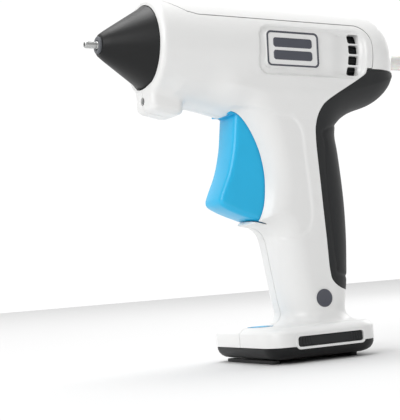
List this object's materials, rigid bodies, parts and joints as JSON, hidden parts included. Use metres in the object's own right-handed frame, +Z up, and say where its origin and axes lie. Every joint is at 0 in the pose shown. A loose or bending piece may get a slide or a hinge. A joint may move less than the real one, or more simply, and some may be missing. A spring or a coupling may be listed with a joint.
{
  "type": "cordless glue gun",
  "caption": "Cordless hot-melt glue gun that stands on its battery base, with a cone nozzle, a sprung feed trigger, a push button on the base and a glue stick loaded from the rear.",
  "frame": {"origin": "middle of the bounding box's underside, on the plane the feet stand on", "axes": "+Z up from the feet, -X towards the nozzle, +X towards the rear of the barrel, -Y to the left side seen from behind the tool"},
  "size_m": [0.1701, 0.0616, 0.1651],
  "materials": {
    "white_abs": "moulded, satin gloss",
    "black_nylon": "moulded, fine grain",
    "slate_abs": "moulded, satin",
    "grey_silicone": "moulded, matt",
    "dark_rubber": "overmoulded, matt",
    "blue_abs": "moulded, satin gloss",
    "clear_blue_acrylic": "translucent, polished",
    "zinc_steel": "bright plated",
    "spring_steel": "drawn",
    "cast_aluminium": "die cast",
    "white_ceramic": "sintered",
    "natural_nylon": "moulded, matt",
    "clear_glue": "extruded, translucent",
    "green_board": "solder mask",
    "clear_acrylic": "clear, polished",
    "cell_wrap": "can in shrink wrap",
    "red_silicone": "extruded, matt"
  },
  "bodies": {
    "housing": {"left_housing": "white_abs", "right_housing": "white_abs", "top_cover": "white_abs", "rear_end_cap": "white_abs", "rubber_backstrap": "dark_rubber", "nozzle_cone": "black_nylon", "nozzle_collar": "grey_silicone", "nozzle_tip": "zinc_steel", "melt_chamber": "cast_aluminium", "heater_element": "white_ceramic", "heater_clip": "spring_steel", "inlet_sleeve": "grey_silicone", "chamber_holder": "natural_nylon", "heater_lead_left": "red_silicone", "heater_lead_right": "red_silicone", "stick_guide": "natural_nylon", "trigger_pin": "zinc_steel", "return_spring": "spring_steel", "base_cover": "black_nylon", "front_foot": "dark_rubber", "rear_foot": "dark_rubber", "indicator_ring": "clear_blue_acrylic", "button_switch": "zinc_steel", "control_board": "green_board", "charge_socket": "zinc_steel", "battery_cell": "cell_wrap", "lamp_lens": "clear_acrylic", "lamp_board": "green_board", "badge_left": "slate_abs", "badge_right": "slate_abs", "vent_grille_left": "black_nylon", "vent_grille_right": "black_nylon", "grip_mark_left": "slate_abs", "grip_mark_right": "slate_abs", "side_strip_left": "dark_rubber", "side_strip_right": "dark_rubber", "housing_screw_1": "zinc_steel", "housing_screw_2": "zinc_steel", "housing_screw_3": "zinc_steel", "housing_screw_4": "zinc_steel", "housing_screw_5": "zinc_steel", "base_screw_1": "zinc_steel", "base_screw_2": "zinc_steel", "base_screw_3": "zinc_steel", "base_screw_4": "zinc_steel"},
    "trigger": {"trigger": "blue_abs"},
    "feed_carriage": {"feed_carriage": "natural_nylon", "grip_jaw": "spring_steel"},
    "glue_slug": {"glue_slug": "clear_glue"},
    "glue_stick": {"glue_stick": "clear_glue"},
    "power_button": {"power_button": "blue_abs"}
  },
  "joints": [
    {"name": "trigger_pivot", "type": "hinge", "parent": "housing", "child": "trigger", "pos_m": [-0.014, 0, 0.12], "axis": [0, -1, 0], "range_deg": [0, 14], "stiffness_Nm_per_rad": 0.5, "springref_deg": -14.32},
    {"name": "carriage_slide", "type": "slide", "parent": "housing", "child": "feed_carriage", "axis": [-0.9994, 0, 0.0349], "range_m": [0, 0.00533]},
    {"name": "slug_slide", "type": "slide", "parent": "housing", "child": "glue_slug", "axis": [-0.9994, 0, 0.0349], "range_m": [0, 0.00533]},
    {"name": "stick_slide", "type": "slide", "parent": "feed_carriage", "child": "glue_stick", "axis": [0.9994, 0, -0.0349], "range_m": [0, 0.06]},
    {"name": "button_press", "type": "slide", "parent": "housing", "child": "power_button", "axis": [0, 0, -1], "range_m": [0, 0.0008], "stiffness_N_per_m": 1500, "springref_m": -0.0004}
  ],
  "couplings": [
    {"joint": "carriage_slide", "follows": "trigger_pivot", "m_per_rad": 0.021784},
    {"joint": "slug_slide", "follows": "trigger_pivot", "m_per_rad": 0.021784}
  ]
}
